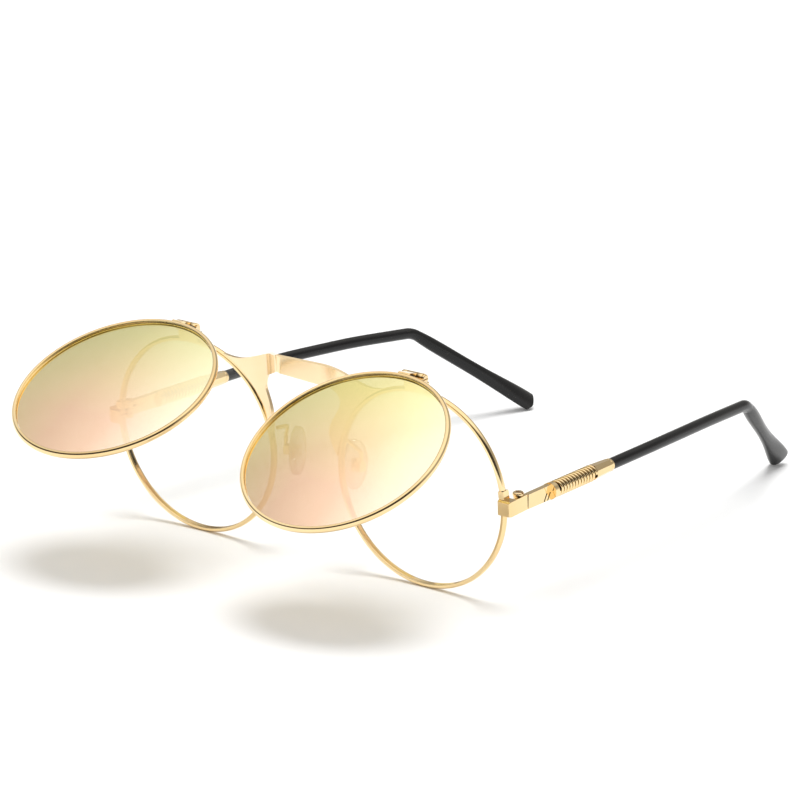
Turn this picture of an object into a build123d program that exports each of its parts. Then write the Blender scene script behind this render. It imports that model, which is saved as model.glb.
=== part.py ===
from build123d import *
import os
from math import cos, radians, sin, tan

# Round flip-up sunglasses: a metal front with two clear lenses, two mirrored lenses that
# flip up on hinges above them, and two folding temples with a decorative spring and a sleeve.
#
# Units are millimetres. The front faces -Y, +X is the right-hand side as seen from the front,
# and the object stands on the bottoms of its two rims and on its two temple ends at Z = 0.
# The parts of the front are drawn upright, in a frame whose origin is midway between the two
# rim centres, and are then leaned forward by FRONT_LEAN. Everything that comes in pairs is
# drawn for the right-hand side and mirrored.

# Rims and lenses
RIM_SPACING = 73.6          # between the two rim centres
RIM_R = 26.5                # outer radius of the fixed rims
RIM_WALL = 1.2              # radial thickness of every rim wire
RIM_DEPTH = 1.8             # front to back depth of every rim wire
RIM_CROWN = 0.5             # how far the rounded outer face of the wire stands out
GROOVE_DEPTH = 0.42
GROOVE_HALF = 0.45
LENS_THICKNESS = 0.9
LENS_RISE = 1.2             # how far the middle of a lens stands forward of its edge
LENS_GAP = 0.08             # between a lens and its rim
RIM_SLOT = 0.4              # where a fixed rim is split to let its lens in
FRONT_LEAN = 5.0            # degrees that the top of the front leans forward

# Bridge: a bent sheet with a sharp fold down its middle
BRIDGE_SHEET = 0.9
KEEL_REACH = 10.2           # how far the fold stands in front of the rims
KEEL_ANGLE = 43.5           # degrees between each wing of the keel and the front
KEEL_ROOT_R = 9.4
FOLD_R = 1.0

# Flip hinges, on top of the rims
FLIP_RIM_R = 27.2
FLIP_AXIS_RISE = 3.26       # hinge axis above the top of the fixed rim
FLIP_AXIS_FORWARD = 1.41    # hinge axis in front of the middle of the fixed rim
FLIP_SET_FORWARD = 3.09     # closed flip rim in front of its hinge axis
FLIP_SET_DOWN = 2.56        # top of the closed flip rim below its hinge axis
FLIP_KNUCKLE_R = 1.3
FLIP_KNUCKLE_HALF = 1.6     # half the width of the moving knuckle
FLIP_EAR_WIDTH = 1.5
FLIP_SIDE_GAP = 0.08
FLIP_PIN_R = 0.55
LEFT_FLIP_OPEN = 68.5       # degrees open at rest, from closed
RIGHT_FLIP_OPEN = 62.7

# Temple hinges and end pieces
HINGE_X, HINGE_Y = 63.9, 4.0
BLOCK_LOW, BLOCK_HIGH = 25.1, 29.0
BLOCK_OUTSIDE = 65.7
BLOCK_FRONT = -1.75
BLOCK_BACK = 5.4
HINGE_R = 1.25
HINGE_PIN_R = 0.6
HINGE_MIDDLE = 1.2          # height of the temple's own knuckle
HINGE_GAP = 0.05
RUN_CLEARANCE = 0.04        # radial, between a pin and the knuckle that turns on it

# Temples
TEMPLE_START = (64.9, 5.75, 27.05)
TEMPLE_TOE_IN = 2.0         # degrees
TEMPLE_RISE = 1.6           # degrees
BAR_THICKNESS = 1.5
BAR_LENGTH = 10.6
SEAT_R = 2.2
SEAT_LENGTH = 1.0
ROD_R = 1.15
SPRING_LENGTH = 17.2
SPRING_TURNS = 13
SPRING_R = 2.15             # outer radius of the coil
SPRING_WIRE_R = 0.46
FERRULE_LENGTH = 7.9
FERRULE_R = 1.95
SLEEVE_R = 1.55
CORE_R = 0.6
CORE_IN_LEG = 18
LEG_SECTIONS = [            # way along the leg, half thickness, half width, twist in degrees
    (0.0, 1.55, 1.55, 0),
    (0.35, 1.6, 1.85, 10),
    (0.7, 1.55, 2.25, 25),
    (0.9, 1.5, 2.9, 38),
    (1.0, 1.3, 3.0, 40),
]
PADDLE_HALF = 3.0           # half the width of the paddle at the end of the leg
PADDLE_CORNER_R = 2.0
SLEEVE_STRAIGHT = 58.3      # from the temple's start to the sleeve's first bend
SLEEVE_BENDS = [(59.6, 92.0, 28.3), (56.1, 114.2, 27.2)]
BEND_RADII = [190, 260, 8]
TIP_END = (42.45, 151.8, 1.71)

# Nose pads
PAD_CENTRE = (9.2, 7.4, 25.6)
PAD_TURN = 15.0             # degrees that the pad's face turns back from facing the nose squarely
PAD_HEIGHT, PAD_WIDTH, PAD_THICKNESS = 13.0, 7.4, 1.7
PAD_BOX_BACK = 2.3          # pad screw behind the pad's middle plane
PAD_SCREW_R = 0.3
PAD_CHEEK = 0.55            # half the space between the cheeks of the pad box
PAD_SOCKET = (0.8, 2.4, 3.4)    # depth, width and height of the metal foot moulded into a pad
PAD_ARM_R = 0.5
PAD_ARM_ROOT = (10.3, 0.25, 33.0)
PAD_ARM_KNEE = (9.6, 3.6, 33.0)
PAD_ARM_DROP = 4.0          # height of the arm's last bend above the pad box

RIM_X = RIM_SPACING / 2
CROWN_R = ((RIM_DEPTH / 2) ** 2 + RIM_CROWN ** 2) / (2 * RIM_CROWN)
RIM_Z = (RIM_R - CROWN_R) * cos(radians(FRONT_LEAN)) + CROWN_R
LEAN = Pos(0, 0, RIM_Z) * Rot(X=FRONT_LEAN)
parts = {}


def box(x0, x1, y0, y1, z0, z1):
    return Pos((x0 + x1) / 2, (y0 + y1) / 2, (z0 + z1) / 2) * Box(x1 - x0, y1 - y0, z1 - z0)


def along_x(radius, x0, x1, y=0, z=0):
    return Pos((x0 + x1) / 2, y, z) * Rot(Y=90) * Cylinder(radius, x1 - x0)


def along_z(radius, z0, z1, x=0, y=0):
    return Pos(x, y, (z0 + z1) / 2) * Cylinder(radius, z1 - z0)


def mirrored(shape):
    return Compound([mirror(solid, about=Plane.YZ) for solid in shape.solids()])


def add_pair(name, right_shape):
    parts["right_" + name] = right_shape
    parts["left_" + name] = mirrored(right_shape)


# ---------------------------------------------------------------- rims and lenses
def rim_ring(outer_r):
    """A wire ring round the Y axis, rounded outside and grooved inside for its lens."""
    inner = outer_r - RIM_WALL
    shoulder = outer_r - RIM_CROWN
    half = RIM_DEPTH / 2
    outline = [
        Line((inner, -half), (shoulder, -half)),
        ThreePointArc((shoulder, -half), (outer_r, 0), (shoulder, half)),
        Polyline((shoulder, half), (inner, half), (inner, GROOVE_HALF),
                 (inner + GROOVE_DEPTH, 0), (inner, -GROOVE_HALF), (inner, -half)),
    ]
    return revolve(make_face(outline), axis=Axis.Y)


def lens_disc(outer_r):
    """A slightly domed lens with a bevelled edge, for the ring of that outer radius."""
    edge = outer_r - RIM_WALL - LENS_GAP
    half = LENS_THICKNESS / 2
    bevel = GROOVE_HALF - LENS_GAP
    sag_mid = LENS_RISE * 0.75      # rise left at half the radius, on a shallow arc
    front = ThreePointArc((0, -half - LENS_RISE), (edge / 2, -half - sag_mid), (edge, -half))
    back = ThreePointArc((0, half - LENS_RISE), (edge / 2, half - sag_mid), (edge, half))
    rim_side = Polyline((edge, -half), (edge, -bevel), (edge + GROOVE_DEPTH - LENS_GAP, 0),
                        (edge, bevel), (edge, half))
    axis_side = Line((0, -half - LENS_RISE), (0, half - LENS_RISE))
    return revolve(make_face([front, rim_side, back, axis_side]), axis=Axis.Y)


def fixed_rim():
    ring = Pos(RIM_X, 0, 0) * rim_ring(RIM_R)
    return ring - box(RIM_X + RIM_R - 3, RIM_X + RIM_R + 1, -2, 2, 0.35, 0.35 + RIM_SLOT)


# ---------------------------------------------------------------- bridge
def bridge_plate():
    """The sheet's plan, thickened, crossed with its outline as seen from the front."""
    corner_x = KEEL_REACH / tan(radians(KEEL_ANGLE))
    far = RIM_X
    plan = FilletPolyline((-far, 0), (-corner_x, 0), (0, -KEEL_REACH), (corner_x, 0), (far, 0),
                          radius=[KEEL_ROOT_R, FOLD_R, KEEL_ROOT_R])
    ribbon = Pos(0, 0, -5) * extrude(trace(plan, line_width=BRIDGE_SHEET), amount=40)
    contact = RIM_R - 0.25
    join = radians(69)
    shoulder = (RIM_X - contact * cos(join), contact * sin(join))
    foot = (RIM_X - contact * cos(radians(8)), contact * sin(radians(8)))
    middle = radians(34)
    rim_edge = (RIM_X - contact * cos(middle), contact * sin(middle))
    half = make_face([
        Line((0, 31.3), (12, 26.5)),
        Spline((12, 26.5), (17, 24.7), (21.2, 23.75), shoulder, tangents=[(1, -0.40), (1, 0.34)]),
        ThreePointArc(shoulder, rim_edge, foot),
        Spline(foot, (9.5, 11.6), (11.4, 15.7), (12.2, 18.2), (11.3, 20.6), (7.6, 22.9),
               tangents=[(-0.35, 1), (-0.8, 0.42)]),
        Line((7.6, 22.9), (0, 26.9)),
        Line((0, 26.9), (0, 31.3)),
    ])
    right_half = extrude(Plane.XZ * half, amount=20, both=True)
    outline = right_half + mirror(right_half, about=Plane.YZ)
    right_ring = Pos(RIM_X, 0, 0) * rim_ring(RIM_R)
    return (outline & ribbon) - right_ring - mirror(right_ring, about=Plane.YZ)


# ---------------------------------------------------------------- flip hinges
FLIP_Y = -FLIP_AXIS_FORWARD
FLIP_Z = RIM_R + FLIP_AXIS_RISE
EAR_START = FLIP_KNUCKLE_HALF + FLIP_SIDE_GAP
EAR_END = EAR_START + FLIP_EAR_WIDTH


def flip_bracket():
    """A saddle on top of the rim with an ear and a knuckle at each end."""
    top = FLIP_Z - FLIP_KNUCKLE_R - 0.25
    saddle = box(-EAR_END, EAR_END, -1.5, 0.9, RIM_R - 0.5, top)
    saddle = fillet(saddle.edges().filter_by(Axis.Z), 0.4)
    ears = None
    for side in (-1, 1):
        x0, x1 = sorted((side * EAR_START, side * EAR_END))
        knuckle = along_x(FLIP_KNUCKLE_R, x0, x1, FLIP_Y, FLIP_Z)
        ear = knuckle + box(x0, x1, FLIP_Y, FLIP_Y + FLIP_KNUCKLE_R, RIM_R, FLIP_Z)
        ears = ear if ears is None else ears + ear
    bracket = saddle + ears - along_x(FLIP_PIN_R, -EAR_END - 1, EAR_END + 1, FLIP_Y, FLIP_Z)
    return Pos(RIM_X, 0, 0) * bracket - Pos(RIM_X, 0, 0) * rim_ring(RIM_R)


def flip_pin():
    """A shouldered screw through the three knuckles: slotted head one end, peened the other."""
    head = along_x(1.15, EAR_END, EAR_END + 0.7, FLIP_Y, FLIP_Z)
    head = fillet(head.faces().sort_by(Axis.X)[-1].edges(), 0.3)
    slot = box(EAR_END + 0.4, EAR_END + 1, FLIP_Y - 2, FLIP_Y + 2, FLIP_Z - 0.18, FLIP_Z + 0.18)
    shank = along_x(FLIP_PIN_R, -EAR_END, EAR_END, FLIP_Y, FLIP_Z)
    tail = along_x(0.85, -EAR_END - 0.4, -EAR_END, FLIP_Y, FLIP_Z)
    return Pos(RIM_X, 0, 0) * (head - slot + shank + tail)


def flip_ring_place():
    """Centre of the closed flip rim in the front's own frame."""
    return Pos(RIM_X, FLIP_Y - FLIP_SET_FORWARD, FLIP_Z - FLIP_SET_DOWN - FLIP_RIM_R)


def flip_arm():
    """The moving knuckle and the cranked strap that holds the flip rim."""
    half = FLIP_KNUCKLE_HALF
    knuckle = along_x(FLIP_KNUCKLE_R, -half, half, FLIP_Y, FLIP_Z)
    front = FLIP_Y - FLIP_SET_FORWARD
    ring_top = FLIP_Z - FLIP_SET_DOWN
    strap = make_face(Polyline((FLIP_Y + 0.2, FLIP_Z + 0.95), (FLIP_Y - 0.5, FLIP_Z + 1.05),
                               (front - 0.2, ring_top + 0.75), (front - 0.7, ring_top + 0.2),
                               (front - 0.7, ring_top - 0.6), (front + 0.5, ring_top - 0.6),
                               (front + 0.5, ring_top - 0.1), (FLIP_Y - 0.7, FLIP_Z - 0.7),
                               close=True))
    arm = knuckle + extrude(Plane.YZ * strap, amount=half, both=True)
    arm -= along_x(FLIP_PIN_R + RUN_CLEARANCE, -half - 1, half + 1, FLIP_Y, FLIP_Z)
    return Pos(RIM_X, 0, 0) * arm - flip_ring_place() * rim_ring(FLIP_RIM_R)


def opened(solid, angle):
    """Turns a closed flip piece up by that many degrees about its hinge axis."""
    return Pos(0, FLIP_Y, FLIP_Z) * Rot(X=-angle) * Pos(0, -FLIP_Y, -FLIP_Z) * solid


# ---------------------------------------------------------------- end pieces and temple hinge
# These are drawn upright, then leaned about the middle of the temple's hinge.
HINGE_MID_Z = (BLOCK_LOW + BLOCK_HIGH) / 2
HINGE_CENTRE = (HINGE_X, HINGE_Y, HINGE_MID_Z)
HINGE_LEAN = Pos(*HINGE_CENTRE) * Rot(X=FRONT_LEAN) * Pos(*[-v for v in HINGE_CENTRE])
KNUCKLE_LOW = HINGE_MID_Z - HINGE_MIDDLE / 2
KNUCKLE_HIGH = HINGE_MID_Z + HINGE_MIDDLE / 2
RIM_OUTSIDE = RIM_X + RIM_R
PLATE_FRONT = 0.5           # thickness of the end piece's front and side walls
PLATE_SIDE = 1.0
LEAF_INSIDE = 0.6           # the hinge leaves stop this far inside the end piece's outer face


def upright_end_piece():
    """A plate wrapped from the front round the side, with the two fixed hinge knuckles."""
    front_back = BLOCK_FRONT + PLATE_FRONT
    inside = BLOCK_OUTSIDE - PLATE_SIDE
    wrap = box(RIM_OUTSIDE - 1.5, BLOCK_OUTSIDE, BLOCK_FRONT, front_back, BLOCK_LOW, BLOCK_HIGH)
    wrap += box(inside, BLOCK_OUTSIDE, BLOCK_FRONT, BLOCK_BACK, BLOCK_LOW, BLOCK_HIGH)
    corner = wrap.edges().filter_by(Axis.Z).sort_by(lambda e: e.center().X - e.center().Y)[-1]
    wrap = chamfer(corner, 0.45)
    top_front = wrap.edges().group_by(Axis.Z)[-1].group_by(Axis.Y)[0]
    wrap = chamfer(top_front, 0.4)
    gap_low, gap_high = KNUCKLE_LOW - HINGE_GAP, KNUCKLE_HIGH + HINGE_GAP
    wrap -= along_z(HINGE_R + 0.1, gap_low, gap_high, HINGE_X, HINGE_Y)
    leaf_x, leaf_y = BLOCK_OUTSIDE - LEAF_INSIDE, (HINGE_Y - HINGE_R, HINGE_Y + HINGE_R)
    for z0, z1 in ((BLOCK_LOW, gap_low), (gap_high, BLOCK_HIGH)):
        wrap += along_z(HINGE_R, z0, z1, HINGE_X, HINGE_Y)
        wrap += box(HINGE_X, leaf_x, *leaf_y, z0, z1)
    return wrap - along_z(HINGE_PIN_R, BLOCK_LOW - 1, BLOCK_HIGH + 1, HINGE_X, HINGE_Y)


def end_piece():
    return HINGE_LEAN * upright_end_piece()


def hinge_screw():
    head = along_z(1.45, BLOCK_HIGH, BLOCK_HIGH + 0.85, HINGE_X, HINGE_Y)
    head = fillet(head.faces().sort_by(Axis.Z)[-1].edges(), 0.45)
    slot = box(HINGE_X - 2, HINGE_X + 2, HINGE_Y - 0.2, HINGE_Y + 0.2, BLOCK_HIGH + 0.45, BLOCK_HIGH + 1)
    shank = along_z(HINGE_PIN_R, BLOCK_LOW, BLOCK_HIGH, HINGE_X, HINGE_Y)
    return HINGE_LEAN * (head - slot + shank)


CLOSE_X, CLOSE_Y = RIM_OUTSIDE + 0.75, 0.2      # closing screw
CLOSE_R = 0.5
SPLIT_LOW = RIM_Z + 0.35
SPLIT_HIGH = SPLIT_LOW + RIM_SLOT


def closing_blocks():
    """Two blocks brazed to the rim's ends, the upper one with a collar round the wire."""
    x0, x1 = RIM_OUTSIDE - 0.75, BLOCK_OUTSIDE - PLATE_SIDE
    y0, y1 = BLOCK_FRONT + PLATE_FRONT, 1.35
    lower = box(x0, x1, y0, y1, BLOCK_LOW + 0.1, SPLIT_LOW)
    upper = box(x0, x1, y0, y1, SPLIT_HIGH, BLOCK_HIGH - 0.1)
    section = Pos(RIM_R - RIM_WALL / 2, 0) * Rectangle(RIM_WALL + 0.5, RIM_DEPTH + 0.4)
    collar = revolve(section, axis=Axis.Y, revolution_arc=5)
    collar = LEAN * Pos(RIM_X, 0, 0) * Rot(Y=-9.6) * collar
    lower, upper = HINGE_LEAN * lower, HINGE_LEAN * upper
    upper += collar - HINGE_LEAN * box(x0 - 3, x1, -3, 3, 0, SPLIT_HIGH)
    cut = LEAN * Pos(RIM_X, 0, 0) * (rim_ring(RIM_R) + lens_disc(RIM_R))
    hole = along_z(CLOSE_R, BLOCK_LOW - 1, BLOCK_HIGH + 1, CLOSE_X, CLOSE_Y)
    cut += HINGE_LEAN * (hole + upright_end_piece())
    return Compound([*(lower - cut).solids(), *(upper - cut).solids()])


def closing_screw():
    head = along_z(0.8, BLOCK_LOW - 0.4, BLOCK_LOW + 0.1, CLOSE_X, CLOSE_Y)
    slot = box(CLOSE_X - 1, CLOSE_X + 1, CLOSE_Y - 0.12, CLOSE_Y + 0.12, BLOCK_LOW - 1, BLOCK_LOW - 0.2)
    shank = along_z(CLOSE_R, BLOCK_LOW, BLOCK_HIGH - 0.1, CLOSE_X, CLOSE_Y)
    return HINGE_LEAN * (head - slot + shank)


# ---------------------------------------------------------------- temples
TEMPLE = Pos(*TEMPLE_START) * Rot(Z=TEMPLE_TOE_IN) * Rot(X=TEMPLE_RISE)
SEAT_END = BAR_LENGTH + SEAT_LENGTH
SPRING_END = SEAT_END + SPRING_LENGTH
FERRULE_END = SPRING_END + FERRULE_LENGTH
BAR_DEEPENS = 8.4           # where the bar starts to deepen towards the spring's seat
ROD_IN_FERRULE = 2.0


def along_temple(radius, y0, y1):
    return Pos(0, (y0 + y1) / 2, 0) * Rot(X=90) * Cylinder(radius, y1 - y0)


def chevron_grooves():
    """Two V-shaped grooves across the bar's outer face."""
    grooves = []
    for shift in (0, 1.5):
        for side in (-1, 1):
            place = Pos(BAR_THICKNESS / 2, BAR_DEEPENS - 1 + shift, side * 0.85)
            grooves.append(place * Rot(X=side * 32) * Box(0.3, 0.45, 2.3))
    return grooves


def temple_bar():
    """A flat bar that deepens to the spring's seat, the spring's rod, and the hinge knuckle."""
    start, middle, end = 1.85, 1.9, SEAT_R - 0.18      # half the bar's depth along its length
    side = make_face(Polyline((0, -start), (0, start), (BAR_DEEPENS, middle), (BAR_LENGTH, end),
                              (BAR_LENGTH, -end), (BAR_DEEPENS, -middle), close=True))
    bar = extrude(Plane.YZ * side, amount=BAR_THICKNESS / 2, both=True)
    for groove in chevron_grooves():
        bar -= groove
    bar += along_temple(SEAT_R, BAR_LENGTH - 0.6, SEAT_END)
    bar += along_temple(ROD_R, SEAT_END, SPRING_END + ROD_IN_FERRULE)
    web_end = TEMPLE_START[1] + 1.2
    web = box(HINGE_X - 0.9, HINGE_X + 0.75, HINGE_Y, web_end, KNUCKLE_LOW, KNUCKLE_HIGH)
    knuckle = along_z(HINGE_R, KNUCKLE_LOW, KNUCKLE_HIGH, HINGE_X, HINGE_Y)
    hole = along_z(HINGE_PIN_R + RUN_CLEARANCE, BLOCK_LOW, BLOCK_HIGH, HINGE_X, HINGE_Y)
    return TEMPLE * bar + HINGE_LEAN * (knuckle + web) - HINGE_LEAN * hole


def temple_spring():
    wire_path = SPRING_R - SPRING_WIRE_R
    length = SPRING_LENGTH - 2 * SPRING_WIRE_R - 0.1
    helix = Helix(pitch=length / SPRING_TURNS, height=length, radius=wire_path)
    wire = Plane(helix @ 0, z_dir=helix % 0) * Circle(SPRING_WIRE_R)
    coil = sweep(wire, path=helix, is_frenet=True)
    return TEMPLE * Pos(0, SEAT_END + SPRING_WIRE_R + 0.05, 0) * Rot(X=-90) * coil


def octagon(y, radius):
    return Plane((0, y, 0), z_dir=(0, 1, 0)) * RegularPolygon(radius, 8, rotation=22.5)


def temple_ferrule():
    """An eight-sided block that narrows towards the sleeve and ends in a plain ring."""
    ring_start = FERRULE_END - 0.8
    body = loft([octagon(SPRING_END, FERRULE_R * 1.06), octagon(ring_start, FERRULE_R * 0.92)])
    body += along_temple(FERRULE_R * 0.88, ring_start, FERRULE_END)
    return TEMPLE * (body - along_temple(ROD_R, SPRING_END - 1, SPRING_END + ROD_IN_FERRULE))


def sleeve_points():
    start = (TEMPLE * Pos(0, FERRULE_END, 0)).position
    first_bend = (TEMPLE * Pos(0, SLEEVE_STRAIGHT, 0)).position
    return [tuple(start), tuple(first_bend)] + SLEEVE_BENDS + [TIP_END]


def temple_leg(bend_end, direction):
    """The part that hooks behind the ear: round at the bend, a flat twisted paddle at the end."""
    length = (Vector(*TIP_END) - bend_end).length
    flat = Plane(bend_end, x_dir=direction.cross(Vector(0, 0, 1)).normalized(), z_dir=direction)
    sections = []
    for way, thick, wide, twist in LEG_SECTIONS:
        sections.append(flat.offset(length * way) * Rot(Z=twist) * Ellipse(thick, wide))
    end_twist = LEG_SECTIONS[-1][3]
    outline = Pos(0, 0, length / 2) * Box(12, 2 * PADDLE_HALF + 0.04, length)
    corners = outline.edges().filter_by(Axis.X).group_by(Axis.Z)[-1]
    outline = fillet(corners, PADDLE_CORNER_R)
    return loft(sections) & (flat.location * Rot(Z=end_twist) * outline)


def temple_sleeve_and_core():
    """The sleeve and the wire inside it, which reaches CORE_IN_LEG past the bend."""
    path = FilletPolyline(*sleeve_points(), radius=BEND_RADII)
    pieces = path.edges()
    bend_end = pieces[-1] @ 0
    direction = (pieces[-1] % 0).normalized()
    run = Wire(pieces[:-1])
    start = Plane(run @ 0, z_dir=run % 0)
    core_bend = sweep(start * Circle(CORE_R), path=run)
    in_leg = Pos(0, 0, CORE_IN_LEG / 2) * Cylinder(CORE_R, CORE_IN_LEG)
    core_end = Plane(bend_end, z_dir=direction) * in_leg
    tube = sweep(start * Circle(SLEEVE_R), path=run) - core_bend
    sleeve = tube + (temple_leg(bend_end, direction) - core_end)
    return sleeve, core_bend + core_end


# ---------------------------------------------------------------- nose pads
PAD = Pos(*PAD_CENTRE) * Rot(Z=-PAD_TURN)      # local -X is the pad's face, local X its back
PAD_AXIS_PLACE = Pos(PAD_BOX_BACK, 0, 0) * Rot(X=90)


def pad_foot():
    return Pos((PAD_THICKNESS - PAD_SOCKET[0]) / 2, 0, 0) * Box(*PAD_SOCKET)


def nose_pad():
    disc = Rot(Y=90) * extrude(Ellipse(PAD_HEIGHT / 2, PAD_WIDTH / 2), amount=PAD_THICKNESS)
    disc = Pos(-PAD_THICKNESS / 2, 0, 0) * disc
    disc = fillet(disc.faces().sort_by(Axis.X)[0].edges(), 0.7)
    return PAD * (disc - pad_foot())


def pad_lug():
    """The metal tongue moulded into the pad's back, with the hole that it rocks on."""
    tongue = box(PAD_THICKNESS / 2, PAD_BOX_BACK, -0.45, 0.45, -0.7, 0.7)
    eye = PAD_AXIS_PLACE * Cylinder(0.7, 0.9)
    hole = PAD_AXIS_PLACE * Cylinder(PAD_SCREW_R + RUN_CLEARANCE, 4)
    return PAD * (pad_foot() + tongue + eye - hole)


def pad_box_space():
    return box(PAD_BOX_BACK - 1.0, PAD_BOX_BACK + 0.9, -PAD_CHEEK, PAD_CHEEK, -1.3, 1.3)


def pad_box():
    """The open box on the arm's end: two cheeks and a back."""
    outer = box(PAD_BOX_BACK - 0.9, PAD_BOX_BACK + 1.4, -1.0, 1.0, -1.2, 1.2)
    return outer - pad_box_space() - PAD_AXIS_PLACE * Cylinder(PAD_SCREW_R, 4)


def pad_arm():
    """A bent wire from the bridge's leg back to the pad box."""
    end = (PAD * Pos(PAD_BOX_BACK + 1.2, 0, 0)).position
    above = (end.X - 0.3, end.Y - 0.2, end.Z + PAD_ARM_DROP)
    path = FilletPolyline(PAD_ARM_ROOT, PAD_ARM_KNEE, above, tuple(end), radius=[1.2, 1.2])
    wire = sweep(Plane(path @ 0, z_dir=path % 0) * Circle(PAD_ARM_R), path=path)
    return (wire - PAD * pad_box_space()) + PAD * pad_box()


def pad_screw():
    shank = PAD_AXIS_PLACE * Cylinder(PAD_SCREW_R, 2.0)
    head = Pos(0, -1.2, 0) * PAD_AXIS_PLACE * Cylinder(0.6, 0.4)
    return PAD * (shank + head)


# ---------------------------------------------------------------- the whole object
def build():
    add_pair("eye_rim", LEAN * fixed_rim())
    add_pair("clear_lens", LEAN * Pos(RIM_X, 0, 0) * lens_disc(RIM_R))
    parts["bridge_plate"] = LEAN * bridge_plate()
    add_pair("flip_bracket", LEAN * flip_bracket())
    add_pair("flip_pin", LEAN * flip_pin())
    add_pair("end_piece", end_piece())
    add_pair("hinge_screw", hinge_screw())
    add_pair("closing_blocks", closing_blocks())
    add_pair("closing_screw", closing_screw())
    add_pair("temple_bar", temple_bar())
    add_pair("temple_spring", temple_spring())
    add_pair("temple_ferrule", temple_ferrule())
    sleeve, core = temple_sleeve_and_core()
    add_pair("temple_sleeve", sleeve)
    add_pair("temple_core", core)
    add_pair("nose_pad", nose_pad())
    add_pair("pad_lug", pad_lug())
    add_pair("pad_arm", pad_arm())
    add_pair("pad_screw", pad_screw())
    flips = {"flip_rim": flip_ring_place() * rim_ring(FLIP_RIM_R),
             "flip_lens": flip_ring_place() * lens_disc(FLIP_RIM_R),
             "flip_arm": flip_arm()}
    for name, solid in flips.items():
        parts["right_" + name] = LEAN * opened(solid, RIGHT_FLIP_OPEN)
        parts["left_" + name] = mirrored(LEAN * opened(solid, LEFT_FLIP_OPEN))


def whole_box():
    """The lowest and highest corners of everything."""
    boxes = [part.bounding_box() for part in parts.values()]
    low = [min(getattr(b.min, axis) for b in boxes) for axis in "XYZ"]
    high = [max(getattr(b.max, axis) for b in boxes) for axis in "XYZ"]
    return low, high


build()
low, high = whole_box()
middle_y = (low[1] + high[1]) / 2
os.makedirs("parts", exist_ok=True)
for name, part in parts.items():
    export_step(Pos(0, -middle_y, 0) * part, f"parts/{name}.step")
    print(name, round(part.volume, 2), "mm3")
print("low", low, "high", high)
print("middle_y", middle_y)
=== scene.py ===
import math

import bmesh
import bpy
from mathutils import Matrix, Vector


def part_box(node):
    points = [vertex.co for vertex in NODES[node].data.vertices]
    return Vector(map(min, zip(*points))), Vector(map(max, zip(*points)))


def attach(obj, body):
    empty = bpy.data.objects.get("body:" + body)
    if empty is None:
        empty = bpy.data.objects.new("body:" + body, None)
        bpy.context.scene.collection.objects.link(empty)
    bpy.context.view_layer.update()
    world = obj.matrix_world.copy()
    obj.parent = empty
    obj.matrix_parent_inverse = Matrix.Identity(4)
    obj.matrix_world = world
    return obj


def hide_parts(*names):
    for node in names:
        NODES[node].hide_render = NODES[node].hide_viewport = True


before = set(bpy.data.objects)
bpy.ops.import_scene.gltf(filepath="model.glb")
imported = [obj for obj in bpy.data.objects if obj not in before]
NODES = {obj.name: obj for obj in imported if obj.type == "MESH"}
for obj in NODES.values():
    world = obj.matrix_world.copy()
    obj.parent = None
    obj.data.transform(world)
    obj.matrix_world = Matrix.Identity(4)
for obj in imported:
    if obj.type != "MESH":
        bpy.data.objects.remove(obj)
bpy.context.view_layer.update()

# Looks for a pair of round flip-up sunglasses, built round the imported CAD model.
# Sizes of the glasses are in millimetres, and the place given to mesh() turns them into metres.
# Places in materials, and the camera's, are in metres.
# The front of the glasses faces -Y, and +X is on the right when seen from there.

SIDES = {"right": 1, "left": -1}

# The camera looks at the glasses from in front, to their right and a little above.
CAMERA_AZIMUTH = 38.0
CAMERA_ELEVATION = 16.02
CAMERA_ROLL = 0.85
CAMERA_DISTANCE = 1.27708
CAMERA_TARGET = Vector((0, -0.00858, 0.025))
CAMERA_LENS = 221.19
CAMERA_SHIFT = (-0.0064, 0.0409)
CAMERA_REACH = 20

# Sizes that follow the CAD model
FRONT_LEAN = 5.0
OPEN = {"right": 62.7, "left": 68.5}
RIM_R, FLIP_RIM_R = 26.5, 27.2
RIM_WALL, RIM_DEPTH, RIM_CROWN = 1.2, 1.8, 0.5
GROOVE_DEPTH, GROOVE_HALF = 0.42, 0.45
LENS_THICKNESS, LENS_RISE, LENS_GAP = 0.9, 1.2, 0.08
FLIP_LENS_SET_BACK = 0.28      # so that the rim's inner wall stands clear of the mirrored lens
SPLIT_AT, SPLIT_WIDTH = 0.55, 0.4
TEMPLE_START = (64.9, 5.75, 27.05)
TEMPLE_TOE_IN, TEMPLE_RISE = 2.0, 1.6
SPRING_START, SPRING_LENGTH, SPRING_TURNS = 11.6, 17.2, 13
SPRING_R, SPRING_WIRE_R = 2.15, 0.40
SPRING_END_GAP = 0.05

# How finely the pieces are meshed, and how their edges are treated
RIM_SEGMENTS, LENS_SEGMENTS, LENS_RINGS = 288, 192, 14
COIL_STEPS, COIL_AROUND = 32, 12
ARC_POINTS = 12
CORNER_STEPS = 4
EDGE_ROUNDING = 0.16
LENS_POLE_R = 0.02             # a lens's middle is a tiny ring, not one shared point
SHARP_ANGLE, COIL_SHARP_ANGLE = 30.0, 60.0
FLAT_ANGLE = 0.2
MERGE_DISTANCE = 0.000002

# Scales of the noise in the metal, and its two golds
TINT_SCALE, POLISH_SCALE, WAVE_SCALE = 55.0, 900.0, 260.0
GOLD_PALE, GOLD_DEEP = (0.96, 0.76, 0.44), (0.90, 0.66, 0.34)
GOLD_ROUGHNESS = (0.06, 0.13)
WAVE_HEIGHT = 0.00002

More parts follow.
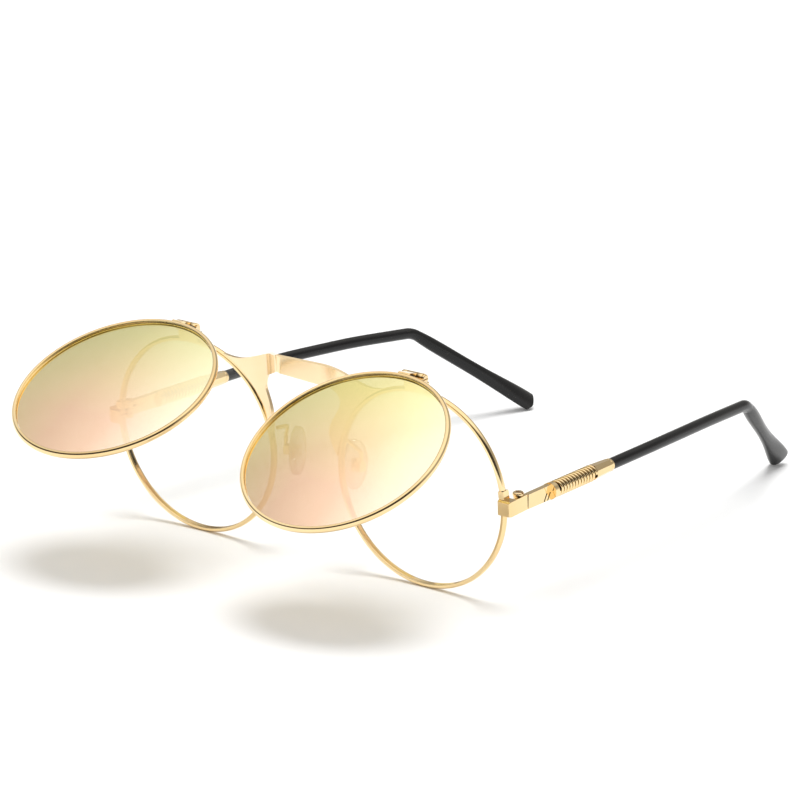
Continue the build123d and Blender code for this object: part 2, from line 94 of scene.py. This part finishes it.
# The mirror coating: its share of the light, and where its colours and its painted highlight start and end
# round the lens's middle
MIRROR_SHARE = 0.84
COAT_ACROSS = (-0.022, 0.026)
COAT_OUTWARD = (-0.020, 0.012)
COAT_WANDER = 0.006
# Colours of the coating across the lens; the palest stops, towards +X, are a painted highlight for the glow
# of reflected light.
HINGE_SIDE_COAT_AND_HIGHLIGHT = [
    (0.00, (0.82, 0.76, 0.29)),
    (0.50, (0.90, 0.81, 0.35)),
    (1.00, (1.00, 0.99, 0.60)),
]
FREE_SIDE_COAT_AND_HIGHLIGHT = [
    (0.00, (0.90, 0.69, 0.33)),
    (0.38, (0.91, 0.56, 0.37)),
    (0.65, (0.95, 0.61, 0.43)),
    (1.00, (0.98, 0.84, 0.66)),
]


# Sockets of Blender's Mix node when it mixes colours
MIX_FACTOR, MIX_FIRST, MIX_SECOND, MIX_RESULT = 0, 6, 7, 2


# ------------------------------------------------------------------ material helpers
class Look:
    """A material being built: its node tree, and short ways to add nodes to it."""

    def __init__(self, name):
        self.material = bpy.data.materials.new(name)
        self.material.use_nodes = True
        self.tree = self.material.node_tree
        self.tree.nodes.clear()
        self.output = self.add("ShaderNodeOutputMaterial")
        self.place = self.add("ShaderNodeTexCoord").outputs["Object"]

    def add(self, kind, inputs=None, **settings):
        node = self.tree.nodes.new(kind)
        for key, value in settings.items():
            setattr(node, key, value)
        for key, value in (inputs or {}).items():
            if isinstance(value, bpy.types.NodeSocket):
                self.tree.links.new(value, node.inputs[key])
            else:
                node.inputs[key].default_value = value
        return node

    def finish(self, shader):
        self.tree.links.new(shader, self.output.inputs["Surface"])
        return self.material

    def noise(self, scale, detail=3.0, roughness=0.5):
        node = self.add("ShaderNodeTexNoise", {
            "Vector": self.place, "Scale": scale, "Detail": detail, "Roughness": roughness})
        return node.outputs["Fac"]

    def ramp(self, factor, stops):
        node = self.add("ShaderNodeValToRGB", {"Fac": factor})
        elements = node.color_ramp.elements
        while len(elements) < len(stops):
            elements.new(0.5)
        for element, (place, colour) in zip(elements, stops):
            element.position = place
            element.color = (*colour, 1.0)
        return node.outputs["Color"]

    def between(self, factor, low, high, start=0.0, end=1.0):
        node = self.add("ShaderNodeMapRange", {
            "Value": factor, "From Min": start, "From Max": end, "To Min": low, "To Max": high})
        return node.outputs["Result"]

    def bump(self, height, distance, strength=1.0):
        node = self.add("ShaderNodeBump", {"Height": height, "Distance": distance, "Strength": strength})
        return node.outputs["Normal"]


# ------------------------------------------------------------------ materials
def polished(look, pale, deep, roughness):
    """Polished plate, with slow tint changes and faint polishing marks."""
    return look.add("ShaderNodeBsdfPrincipled", {
        "Base Color": look.ramp(look.noise(TINT_SCALE), [(0.32, deep), (0.68, pale)]),
        "Metallic": 1.0,
        "Roughness": look.between(look.noise(POLISH_SCALE, 4.0, 0.6), *roughness)})


def gold_look(name, pale, deep, *roughness):
    """Polished plate with a trace of waviness."""
    look = Look(name)
    shader = polished(look, pale, deep, roughness)
    wave = look.bump(look.noise(WAVE_SCALE, 2.0), WAVE_HEIGHT, 0.1)
    look.tree.links.new(wave, shader.inputs["Normal"])
    return look.finish(shader.outputs["BSDF"])


def rod_look(side):
    """The temple bar's gold, with painted shade: the rod inside the coil is coloured near black, standing in
    for the shade in the deep gaps between turns.
    """
    look = Look(f"{side}_temple_metal")
    place = temple_place(SIDES[side])
    start = place @ Vector((0, SPRING_START, 0))
    along = (place @ Vector((0, SPRING_START + 1, 0)) - start).normalized()
    away = look.add("ShaderNodeVectorMath", {0: look.place, 1: start}, operation="SUBTRACT")
    distance = look.add("ShaderNodeVectorMath", {
        0: away.outputs["Vector"], 1: along}, operation="DOT_PRODUCT")
    inside = look.between(distance.outputs["Value"], 0.0, 1.0, 0.0001, 0.0003)
    plate = polished(look, GOLD_PALE, GOLD_DEEP, GOLD_ROUGHNESS)
    # Painted shade: near-black colour on the rod inside the coil, for the shade between the coil's turns.
    painted_shade_tints = [(0.3, (0.010, 0.008, 0.005)), (0.7, (0.025, 0.018, 0.010))]
    painted_rod_shade = look.add("ShaderNodeBsdfPrincipled", {
        "Base Color": look.ramp(look.noise(400.0), painted_shade_tints), "Roughness": 0.5})
    mix = look.add("ShaderNodeMixShader", {"Fac": inside, 1: plate.outputs["BSDF"], 2: painted_rod_shade.outputs["BSDF"]})
    return look.finish(mix.outputs["Shader"])


def clear_look():
    """A clear lens: nearly all light goes straight through, with a faint gloss that grows edge-on."""
    look = Look("clear_lens")
    through = look.add("ShaderNodeBsdfTransparent", {
        "Color": look.ramp(look.noise(40.0), [(0.3, (0.985, 0.99, 0.985)), (0.7, (1.0, 1.0, 1.0))])})
    gloss = look.add("ShaderNodeBsdfGlossy", {
        "Color": (1, 1, 1, 1), "Roughness": look.between(look.noise(300.0), 0.0, 0.03)})
    facing = look.add("ShaderNodeLayerWeight", {"Blend": 0.5}).outputs["Facing"]
    mix = look.add("ShaderNodeMixShader", {
        "Fac": look.between(facing, 0.02, 0.3, 0.6, 1.0),
        1: through.outputs["BSDF"], 2: gloss.outputs["BSDF"]})
    return look.finish(mix.outputs["Shader"])


def mirror_look(name, side):
    """A mirror coating whose colours are fixed to the lens.

    They run from green to pale yellow along its hinge side, and from tan through pink along its free side;
    the palest colours, towards +X, are a painted highlight standing in for the glow of reflected light.
    """
    look = Look(name)
    middle = centre_of(f"{side}_flip_rim")
    lean = math.radians(FRONT_LEAN - OPEN[side])
    outward = Vector((0, math.sin(lean), -math.cos(lean)))
    down = look.add("ShaderNodeVectorMath", {0: look.place, 1: outward}, operation="DOT_PRODUCT")
    drift = look.add("ShaderNodeMath", {0: look.noise(35.0, 1.0), 1: COAT_WANDER}, operation="MULTIPLY")
    across = look.add("ShaderNodeMath", {
        0: look.add("ShaderNodeSeparateXYZ", {"Vector": look.place}).outputs["X"],
        1: drift.outputs["Value"]}, operation="ADD")
    way = look.between(across.outputs["Value"], 0.0, 1.0, *(middle.x + edge for edge in COAT_ACROSS))
    depth = middle.dot(outward)
    fall = look.between(down.outputs["Value"], 0.0, 1.0, *(depth + edge for edge in COAT_OUTWARD))
    tint = look.add("ShaderNodeMix", {
        MIX_FACTOR: fall,
        MIX_FIRST: look.ramp(way, HINGE_SIDE_COAT_AND_HIGHLIGHT),
        MIX_SECOND: look.ramp(way, FREE_SIDE_COAT_AND_HIGHLIGHT)}, data_type="RGBA")
    coat_and_highlight = tint.outputs[MIX_RESULT]
    through = look.add("ShaderNodeBsdfTransparent", {
        "Color": look.ramp(look.noise(40.0), [(0.3, (0.88, 0.91, 0.76)), (0.7, (0.92, 0.94, 0.80))])})
    gloss = look.add("ShaderNodeBsdfGlossy", {
        "Color": coat_and_highlight, "Roughness": look.between(look.noise(300.0), 0.02, 0.05)})
    mix = look.add("ShaderNodeMixShader", {
        "Fac": MIRROR_SHARE, 1: through.outputs["BSDF"], 2: gloss.outputs["BSDF"]})
    return look.finish(mix.outputs["Shader"])


def black_look():
    """Glossy black plastic of the temple sleeves."""
    look = Look("black_tip")
    colour = look.ramp(look.noise(40.0), [(0.3, (0.006, 0.006, 0.006)), (0.7, (0.012, 0.012, 0.012))])
    shader = look.add("ShaderNodeBsdfPrincipled", {
        "Base Color": colour,
        "Roughness": look.between(look.noise(420.0), 0.12, 0.2),
        "Specular IOR Level": 0.28,
        "Normal": look.bump(look.noise(160.0, 2.0), 0.00002, 0.08)})
    return look.finish(shader.outputs["BSDF"])


def pad_look():
    """Soft, see-through silicone of the nose pads."""
    look = Look("pad_silicone")
    shader = look.add("ShaderNodeBsdfPrincipled", {
        "Base Color": look.ramp(look.noise(200.0), [(0.3, (0.90, 0.92, 0.92)), (0.7, (0.97, 0.98, 0.97))]),
        "Roughness": look.between(look.noise(500.0), 0.18, 0.3),
        "Transmission Weight": 0.75, "IOR": 1.4})
    return look.finish(shader.outputs["BSDF"])


GOLD = gold_look("gold", GOLD_PALE, GOLD_DEEP, *GOLD_ROUGHNESS)
BRIDGE_GOLD = gold_look("bridge_gold", (0.98, 0.80, 0.52), (0.93, 0.72, 0.44), 0.14, 0.24)
SCREW_GOLD = gold_look("screw_gold", (0.93, 0.74, 0.46), (0.84, 0.62, 0.34), 0.10, 0.2)
STEEL = gold_look("core_steel", (0.70, 0.70, 0.70), (0.55, 0.55, 0.56), 0.25, 0.4)
CLEAR, BLACK, PAD = clear_look(), black_look(), pad_look()


# ------------------------------------------------------------------ mesh helpers
def centre_of(node):
    low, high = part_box(node)
    return (low + high) / 2


ORIGIN_Y = centre_of("right_eye_rim").y       # where the drawing's own origin lies in the row's frame
TO_ROW = Matrix.Translation((0, ORIGIN_Y, 0)) @ Matrix.Scale(0.001, 4)


def turn(axis, degrees):
    return Matrix.Rotation(math.radians(degrees), 4, axis)


def mesh(name, points, faces, place, material, body, node, sharp=SHARP_ANGLE):
    """Makes the piece that stands for one CAD node, from points in millimetres and their place."""
    data = bpy.data.meshes.new(name)
    data.from_pydata([place @ Vector(p) for p in points], [], faces)
    work = bmesh.new()
    work.from_mesh(data)
    bmesh.ops.recalc_face_normals(work, faces=work.faces)
    work.to_mesh(data)
    work.free()
    return settle(name, data, material, body, node, sharp)


def settle(name, data, material, body, node, sharp=SHARP_ANGLE):
    """Shades a mesh smoothly between its hard edges, and puts it on its body in place of its CAD node."""
    data.materials.clear()
    data.materials.append(material)
    data.polygons.foreach_set("use_smooth", [True] * len(data.polygons))
    data.set_sharp_from_angle(angle=math.radians(sharp))
    piece = bpy.data.objects.new(name, data)
    bpy.context.scene.collection.objects.link(piece)
    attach(piece, body)
    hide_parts(node)
    return piece


def rounded(points, radius):
    """A closed outline with each listed corner rounded: points are (x, y, whether to round)."""
    outline = []
    count = len(points)
    for i, (x, y, is_corner) in enumerate(points):
        here = Vector((x, y))
        if not is_corner:
            outline.append(here)
            continue
        before = Vector(points[i - 1][:2]) - here
        after = Vector(points[(i + 1) % count][:2]) - here
        half_angle = before.angle(after) / 2
        room = 0.45 * min(before.length, after.length)
        reach = min(radius / math.tan(half_angle), room)
        start, end = here + before.normalized() * reach, here + after.normalized() * reach
        for k in range(CORNER_STEPS + 1):
            t = k / CORNER_STEPS
            outline.append(start * (1 - t) ** 2 + here * 2 * t * (1 - t) + end * t ** 2)
    return outline


def revolved(outline, segments, gap=0.0, gap_at=0.0):
    """Turns a closed outline of (radius, y) about the Y axis. A gap leaves a wedge open, with capped ends."""
    count = len(outline)
    start = gap_at + gap / 2
    span = 2 * math.pi - gap
    steps = segments if gap == 0 else segments + 1
    points = []
    for i in range(steps):
        angle = start + span * i / segments
        points += [(p[0] * math.cos(angle), p[1], p[0] * math.sin(angle)) for p in outline]
    faces = []
    for i in range(segments):
        a, b = i * count, ((i + 1) % steps) * count
        for j in range(count):
            k = (j + 1) % count
            faces.append((a + j, a + k, b + k, b + j))
    if gap:
        faces.append(tuple(range(count)))
        faces.append(tuple(range(segments * count, (segments + 1) * count)))
    return points, faces


def tube(centres, frames, section):
    """Skins a closed section of (across, up) along centres whose frames give both directions."""
    count = len(section)
    points, faces = [], []
    for centre, (across, up) in zip(centres, frames):
        points += [centre + across * a + up * b for a, b in section]
    for i in range(len(centres) - 1):
        for j in range(count):
            k = (j + 1) % count
            a, b = i * count, (i + 1) * count
            faces.append((a + j, a + k, b + k, b + j))
    faces.append(tuple(range(count)))
    faces.append(tuple(range((len(centres) - 1) * count, len(centres) * count)))
    return points, faces


def circle(radius, count):
    return [(radius * math.cos(2 * math.pi * k / count), radius * math.sin(2 * math.pi * k / count))
            for k in range(count)]


# ------------------------------------------------------------------ rims and lenses
def rim_outline(outer):
    """The wire's section: a rounded outer face, softly broken edges and the lens groove inside."""
    inner, shoulder, half = outer - RIM_WALL, outer - RIM_CROWN, RIM_DEPTH / 2
    crown_r = (half ** 2 + RIM_CROWN ** 2) / (2 * RIM_CROWN)
    crown_half = math.asin(half / crown_r)
    arc = []
    for k in range(1, ARC_POINTS):
        angle = crown_half * (2 * k / ARC_POINTS - 1)
        arc.append((outer - crown_r + crown_r * math.cos(angle), crown_r * math.sin(angle), False))
    corners = [(inner, -half, True), (shoulder, -half, True), *arc,
               (shoulder, half, True), (inner, half, True),
               (inner, GROOVE_HALF, False), (inner + GROOVE_DEPTH, 0, False), (inner, -GROOVE_HALF, False)]
    return rounded(corners, EDGE_ROUNDING)


def lens_outline(outer):
    """Half the section of a domed lens: its front from the middle out, the bevelled edge, then its back."""
    edge = outer - RIM_WALL - LENS_GAP
    half = LENS_THICKNESS / 2
    bevel = GROOVE_HALF - LENS_GAP
    dome = [(edge * k / LENS_RINGS, LENS_RISE * (1 - (k / LENS_RINGS) ** 2)) for k in range(LENS_RINGS + 1)]
    front = [(max(r, LENS_POLE_R), -half - rise) for r, rise in dome]
    back = [(max(r, LENS_POLE_R), half - rise) for r, rise in reversed(dome)]
    return front + [(edge, -bevel), (edge + GROOVE_DEPTH - LENS_GAP, 0), (edge, bevel)] + back


def ring_place(node, lean):
    """Where a ring drawn round the Y axis goes, in metres, to lie on a CAD node's centre with that lean."""
    return Matrix.Translation(centre_of(node)) @ turn("X", lean) @ Matrix.Scale(0.001, 4)


def make_rims():
    """The four rims and four lenses. Only a mirrored lens's front faces carry its coating."""
    for side, sign in SIDES.items():
        rest = ring_place(f"{side}_eye_rim", FRONT_LEAN)
        split_angle = math.asin(SPLIT_AT / RIM_R)
        at = split_angle if sign > 0 else math.pi - split_angle
        points, faces = revolved(rim_outline(RIM_R), RIM_SEGMENTS, SPLIT_WIDTH / RIM_R, at)
        mesh(f"{side}_rim_wire", points, faces, rest, GOLD, "front_frame",
             f"{side}_eye_rim")
        points, faces = revolved(lens_outline(RIM_R), LENS_SEGMENTS)
        mesh(f"{side}_lens_blank", points, faces, rest, CLEAR, "front_frame",
             f"{side}_clear_lens")
        raised = ring_place(f"{side}_flip_rim", FRONT_LEAN - OPEN[side])
        points, faces = revolved(rim_outline(FLIP_RIM_R), RIM_SEGMENTS)
        mesh(f"{side}_flip_wire", points, faces, raised, GOLD, f"{side}_flip",
             f"{side}_flip_rim")
        outline = lens_outline(FLIP_RIM_R)
        points, faces = revolved(outline, LENS_SEGMENTS)
        seated = raised @ Matrix.Translation((0, FLIP_LENS_SET_BACK, 0))
        blank = mesh(f"{side}_flip_blank", points, faces, seated, mirror_look(f"{side}_mirror", side),
                     f"{side}_flip", f"{side}_flip_lens")
        blank.data.materials.append(CLEAR)
        for i, face in enumerate(blank.data.polygons):
            face.material_index = 0 if i % len(outline) < LENS_RINGS else 1


# ------------------------------------------------------------------ temples
def temple_place(sign):
    """Where things drawn along a temple's own Y axis, in millimetres, go."""
    mirror = Matrix.Diagonal((sign, 1, 1, 1))
    return (TO_ROW @ mirror @ Matrix.Translation(TEMPLE_START)
            @ turn("Z", TEMPLE_TOE_IN) @ turn("X", TEMPLE_RISE))


def make_springs():
    """A coil of round wire along each temple's rod."""
    wire_path = SPRING_R - SPRING_WIRE_R
    reach = SPRING_LENGTH - 2 * (SPRING_WIRE_R + SPRING_END_GAP)
    first = SPRING_START + SPRING_WIRE_R + SPRING_END_GAP
    centres, frames = [], []
    total = SPRING_TURNS * COIL_STEPS
    for i in range(total + 1):
        angle = 2 * math.pi * i / COIL_STEPS
        outward = Vector((math.cos(angle), 0, -math.sin(angle)))
        centres.append(outward * wire_path + Vector((0, first + reach * i / total, 0)))
        frames.append((outward, Vector((0, 1, 0))))
    points, faces = tube(centres, frames, circle(SPRING_WIRE_R, COIL_AROUND))
    for side, sign in SIDES.items():
        mesh(f"{side}_coil", points, faces, temple_place(sign), GOLD, f"{side}_temple",
             f"{side}_temple_spring", sharp=COIL_SHARP_ANGLE)


def softened(node, name, width, body):
    """A gold copy of a CAD part, with its flat faces merged and a bevel of that width on its hard edges."""
    data = NODES[node].data.copy()
    work = bmesh.new()
    work.from_mesh(data)
    bmesh.ops.remove_doubles(work, verts=work.verts, dist=MERGE_DISTANCE)
    bmesh.ops.dissolve_limit(work, angle_limit=math.radians(FLAT_ANGLE), verts=work.verts,
                             edges=work.edges)
    limit = math.radians(SHARP_ANGLE)
    hard = [e for e in work.edges if len(e.link_faces) == 2 and e.calc_face_angle(0) > limit]
    bmesh.ops.bevel(work, geom=hard, offset=width * 0.001, offset_type="OFFSET", segments=2,
                    profile=0.5, affect="EDGES", clamp_overlap=True, harden_normals=False)
    work.to_mesh(data)
    work.free()
    for layer in list(data.attributes):
        if layer.name in ("custom_normal", "sharp_edge", "sharp_face"):
            data.attributes.remove(layer)
    piece = settle(name, data, GOLD, body, node)
    weights = piece.modifiers.new("weights", "WEIGHTED_NORMAL")
    weights.mode = "FACE_AREA"
    weights.keep_sharp = True
    weights.weight = 100


def make_softened():
    """The blocks, brackets and ferrules, whose edges catch the light."""
    for side in SIDES:
        for node, name, slot, width, body in (
                ("end_piece", "end_block", "fitting_gold", 0.12, "front_frame"),
                ("closing_blocks", "rim_blocks", "fitting_gold", 0.08, "front_frame"),
                ("flip_bracket", "hinge_saddle", "fitting_gold", 0.10, "front_frame"),
                ("flip_arm", "hinge_strap", "fitting_gold", 0.08, f"{side}_flip"),
                ("temple_ferrule", "ferrule", "temple_gold", 0.08, f"{side}_temple")):
            softened(f"{side}_{node}", f"{side}_{name}", width, body)


# ------------------------------------------------------------------ stage, light and camera
def make_camera():
    azimuth, elevation = math.radians(CAMERA_AZIMUTH), math.radians(CAMERA_ELEVATION)
    back = Vector((math.sin(azimuth) * math.cos(elevation), -math.cos(azimuth) * math.cos(elevation),
                   math.sin(elevation)))
    across = Vector((0, 0, 1)).cross(back).normalized()
    roll = Matrix.Rotation(math.radians(CAMERA_ROLL), 3, back)
    axes = Matrix((roll @ across, roll @ back.cross(across), back)).transposed()
    data = bpy.data.cameras.new("camera")
    data.lens = CAMERA_LENS
    data.shift_x, data.shift_y = CAMERA_SHIFT
    data.clip_end = CAMERA_REACH
    camera = bpy.data.objects.new("camera", data)
    camera.matrix_world = Matrix.Translation(CAMERA_TARGET + back * CAMERA_DISTANCE) @ axes.to_4x4()
    bpy.context.scene.collection.objects.link(camera)
    bpy.context.scene.camera = camera


def make_floor():
    """A plain pale floor that the glasses stand on."""
    look = Look("floor")
    shader = look.add("ShaderNodeBsdfDiffuse", {
        "Color": look.ramp(look.noise(3.0), [(0.3, (0.955, 0.955, 0.95)), (0.7, (0.965, 0.965, 0.96))])})
    data = bpy.data.meshes.new("floor")
    half = FLOOR_HALF
    data.from_pydata([(-half, -half, 0), (half, -half, 0), (half, half, 0), (-half, half, 0)], [],
                     [(0, 1, 2, 3)])
    data.materials.append(look.finish(shader.outputs["BSDF"]))
    floor = bpy.data.objects.new("floor", data)
    bpy.context.scene.collection.objects.link(floor)


# How bright the studio looks in a reflection, by height from straight down (0) to straight up (1).
# Dark walls stand in front, a grey backdrop behind, with the white table below and a bright ceiling above.
STUDIO_FRONT = [(0.49, 0.95), (0.52, 0.30), (0.55, 0.04), (0.80, 0.03), (0.86, 0.35), (0.93, 0.95)]
STUDIO_BACK = [(0.49, 0.95), (0.55, 0.60), (0.62, 0.36), (0.74, 0.26), (0.83, 0.50), (0.93, 0.95)]
STUDIO_STRENGTH = 1.35
STUDIO_BLEND = 0.25            # how softly the front wall passes into the backdrop
STUDIO_WARMTH = (1.0, 0.97, 0.93)
FLOOR_HALF = 4.0
SKY_STRENGTH = 0.62
SUN_STRENGTH = 1.95
SUN_SPREAD = 32.0
SUN_TILT = 6.0


def studio_ramp(tree, height, stops):
    ramp = tree.nodes.new("ShaderNodeValToRGB")
    elements = ramp.color_ramp.elements
    while len(elements) < len(stops):
        elements.new(0.5)
    for element, (place, level) in zip(elements, stops):
        element.position = place
        element.color = (*(level * tone for tone in STUDIO_WARMTH), 1.0)
    tree.links.new(height, ramp.inputs["Fac"])
    return ramp.outputs["Color"]


def make_light():
    """Even light from all round, a soft light overhead, and the studio seen only in reflections."""
    world = bpy.data.worlds.new("studio")
    bpy.context.scene.world = world
    world.use_nodes = True
    tree = world.node_tree
    tree.nodes.clear()
    new, link = tree.nodes.new, tree.links.new
    axes = new("ShaderNodeSeparateXYZ")
    link(new("ShaderNodeTexCoord").outputs["Generated"], axes.inputs["Vector"])
    height = new("ShaderNodeMapRange")
    height.inputs["From Min"].default_value = -1.0
    link(axes.outputs["Z"], height.inputs["Value"])
    behind = new("ShaderNodeMapRange")
    behind.interpolation_type = "SMOOTHSTEP"
    behind.inputs["From Min"].default_value = -STUDIO_BLEND
    behind.inputs["From Max"].default_value = STUDIO_BLEND
    link(axes.outputs["Y"], behind.inputs["Value"])
    walls = new("ShaderNodeMix")
    walls.data_type = "RGBA"
    link(behind.outputs["Result"], walls.inputs[MIX_FACTOR])
    link(studio_ramp(tree, height.outputs["Result"], STUDIO_FRONT), walls.inputs[MIX_FIRST])
    link(studio_ramp(tree, height.outputs["Result"], STUDIO_BACK), walls.inputs[MIX_SECOND])
    mirrored = new("ShaderNodeBackground")
    mirrored.inputs["Strength"].default_value = STUDIO_STRENGTH
    link(walls.outputs[MIX_RESULT], mirrored.inputs["Color"])
    plain = new("ShaderNodeBackground")
    plain.inputs["Color"].default_value = (1, 1, 1, 1)
    plain.inputs["Strength"].default_value = SKY_STRENGTH
    mix = new("ShaderNodeMixShader")
    link(new("ShaderNodeLightPath").outputs["Is Glossy Ray"], mix.inputs["Fac"])
    link(plain.outputs["Background"], mix.inputs[1])
    link(mirrored.outputs["Background"], mix.inputs[2])
    output = new("ShaderNodeOutputWorld")
    link(mix.outputs["Shader"], output.inputs["Surface"])
    data = bpy.data.lights.new("ceiling", "SUN")
    data.energy = SUN_STRENGTH
    data.angle = math.radians(SUN_SPREAD)
    light = bpy.data.objects.new("ceiling", data)
    light.rotation_euler = (math.radians(-SUN_TILT), 0, 0)
    light.visible_glossy = False
    bpy.context.scene.collection.objects.link(light)


MATERIAL_OF = {
    "bridge_plate": BRIDGE_GOLD,
    "clear_lens": CLEAR,
    "flip_lens": CLEAR,
    "temple_sleeve": BLACK,
    "temple_core": STEEL,
    "nose_pad": PAD,
    "flip_pin": SCREW_GOLD,
    "hinge_screw": SCREW_GOLD,
    "closing_screw": SCREW_GOLD,
    "pad_screw": SCREW_GOLD,
}


def dress():
    """Gives every CAD node its material. What isn't listed is gold, and each temple bar has its own."""
    bars = {f"{side}_temple_bar": rod_look(side) for side in SIDES}
    for name, node in NODES.items():
        kind = name.removeprefix("right_").removeprefix("left_")
        node.data.materials.clear()
        node.data.materials.append(bars.get(name) or MATERIAL_OF.get(kind, GOLD))


bpy.context.scene.view_settings.view_transform = "Standard"
make_camera()
make_floor()
make_light()
dress()
make_rims()
make_springs()
make_softened()
